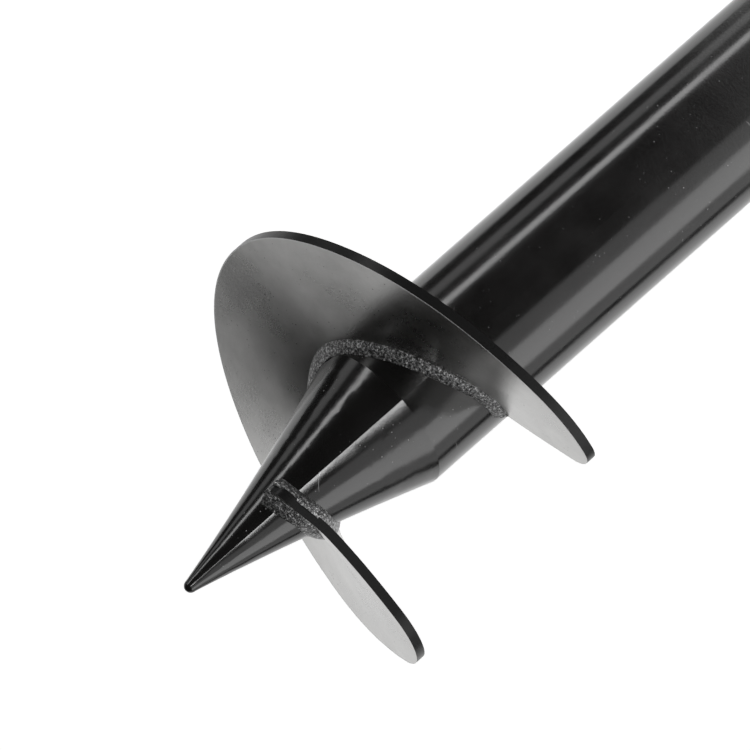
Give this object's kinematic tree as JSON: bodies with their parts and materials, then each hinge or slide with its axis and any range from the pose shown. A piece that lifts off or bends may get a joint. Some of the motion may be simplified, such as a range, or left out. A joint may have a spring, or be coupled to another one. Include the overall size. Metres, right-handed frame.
{
  "type": "foundation ground screw",
  "caption": "Steel ground screw: a tube with a forged point, a welded right-hand screw flight and an open top with cross holes.",
  "frame": {"origin": "centre of the square-cut open end, on the screw's axis", "axes": "+Z along the axis from the open end to the point; the screw stands on its open end, point up, and is turned over to be driven"},
  "size_m": [0.206, 0.1984, 1.2],
  "materials": {
    "black_steel": "satin black coating, lightly brushed and scuffed",
    "weld_metal": "rough rippled weld bead under the same thin coating"
  },
  "bodies": {
    "root": {"shaft": "black_steel", "helix_flight": "black_steel", "lower_weld": "weld_metal", "upper_weld": "weld_metal"}
  },
  "joints": []
}
